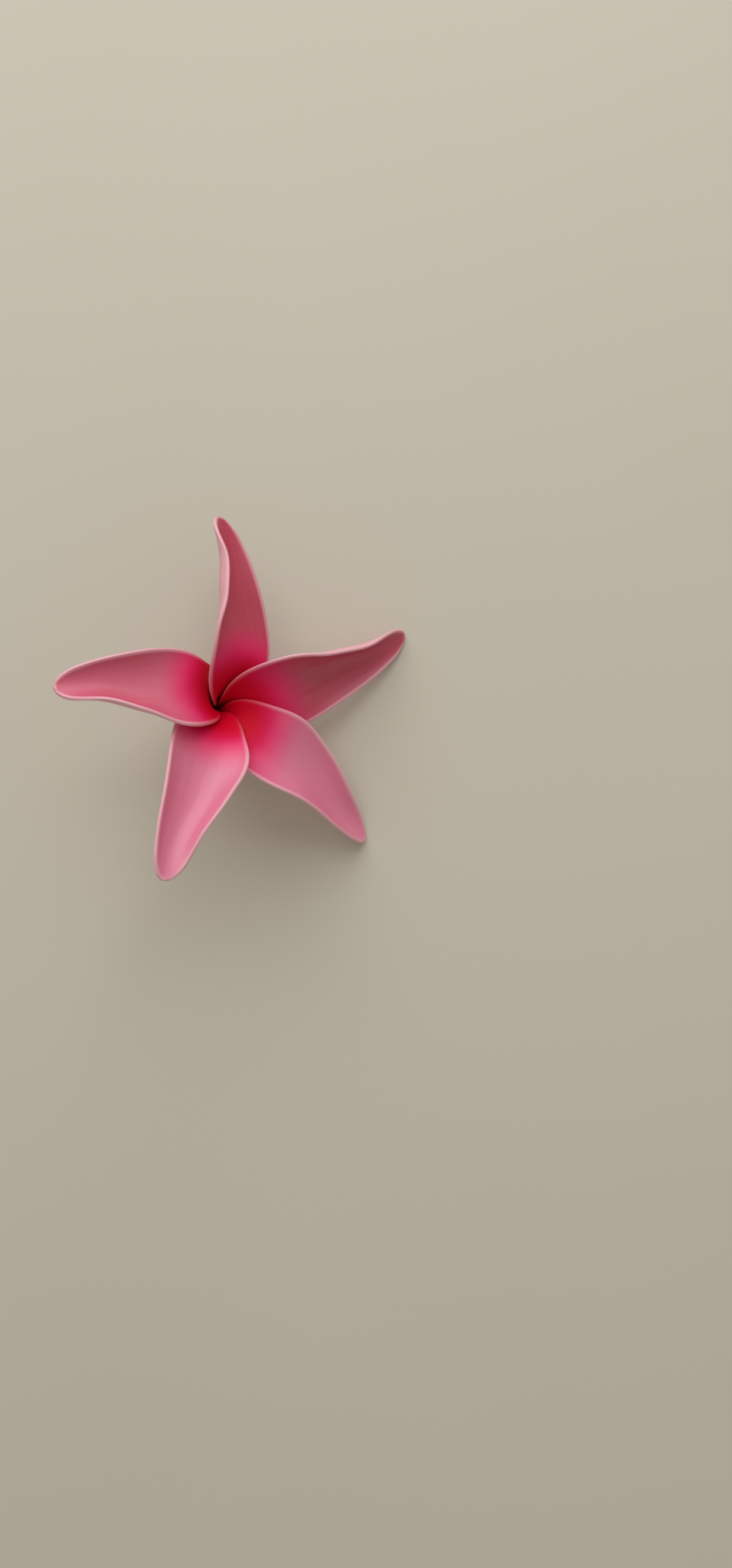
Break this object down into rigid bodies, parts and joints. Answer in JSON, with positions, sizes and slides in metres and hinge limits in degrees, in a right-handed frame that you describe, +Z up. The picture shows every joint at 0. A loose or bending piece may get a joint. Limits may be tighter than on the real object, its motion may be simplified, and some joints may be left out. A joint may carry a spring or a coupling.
{
  "type": "artificial frangipani flower",
  "caption": "Pink frangipani blossom of moulded soft foam, its long cupped petals lapped in a pinwheel round a dark red throat, lying face up.",
  "frame": {"origin": "centre of the flower's footprint, on the surface that it lies on", "axes": "+Z up; +Y from the throat towards the tip of petal_1; +X from the throat between the tips of petal_2 and petal_3, the side it leans to"},
  "size_m": [0.0846, 0.092, 0.0448],
  "materials": {
    "petal_foam": "smooth soft foam with a satin sheen, rose pink with a deep red throat and pale pink edges"
  },
  "bodies": {
    "root": {"petal_1": "petal_foam", "petal_2": "petal_foam", "petal_3": "petal_foam", "petal_4": "petal_foam", "petal_5": "petal_foam"}
  },
  "joints": []
}
